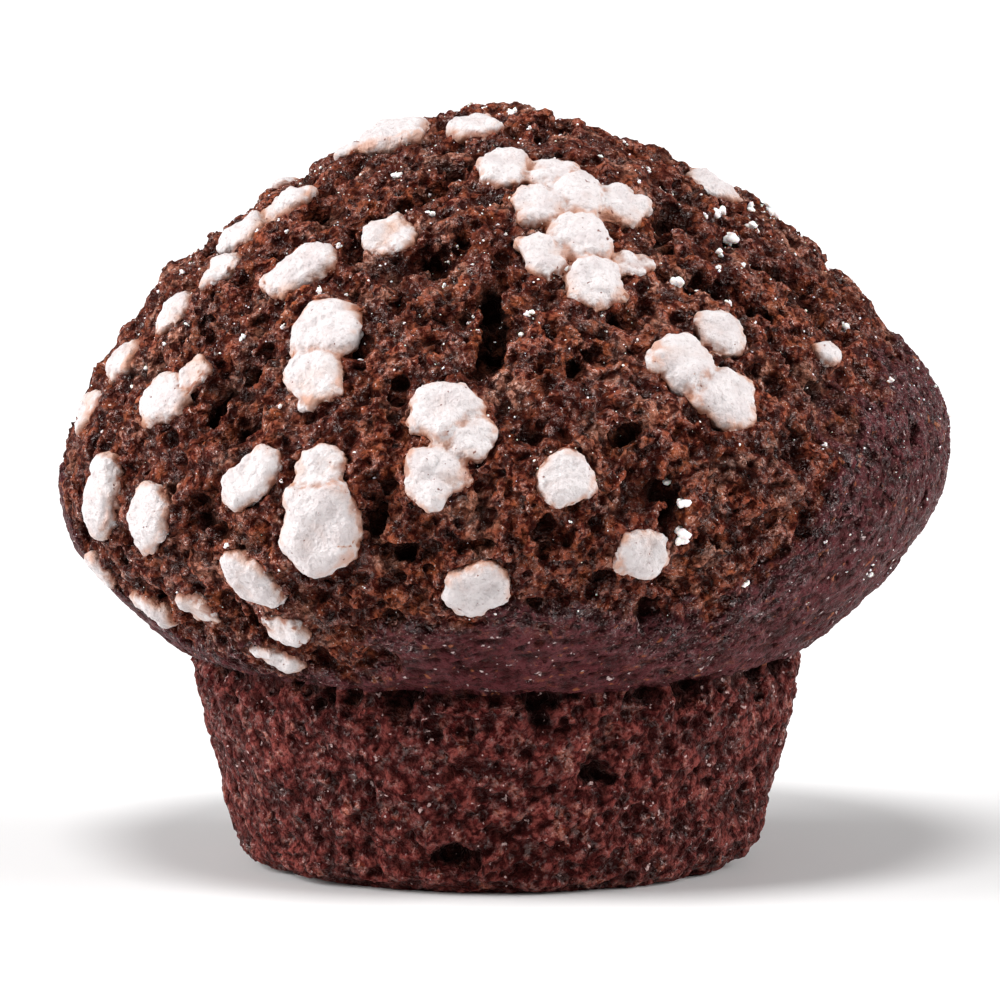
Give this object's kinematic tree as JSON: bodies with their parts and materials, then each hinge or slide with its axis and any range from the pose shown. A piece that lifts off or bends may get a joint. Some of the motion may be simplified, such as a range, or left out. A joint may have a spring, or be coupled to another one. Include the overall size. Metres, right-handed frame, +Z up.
{
  "type": "muffin",
  "caption": "Small chocolate muffin without a paper case: domed, cracked crumb cap with lumps of nib sugar, smooth rim and tapered foot with a flat base.",
  "frame": {"origin": "middle of the flat base, under the middle of the overall box", "axes": "+Z up through the crown, -Y out of the side that the picture shows, +X to the right in the picture"},
  "size_m": [0.06, 0.0607, 0.0509],
  "materials": {
    "crumb": "matte",
    "sugar": "matte"
  },
  "bodies": {
    "root": {"muffin": "crumb"}
  },
  "joints": []
}
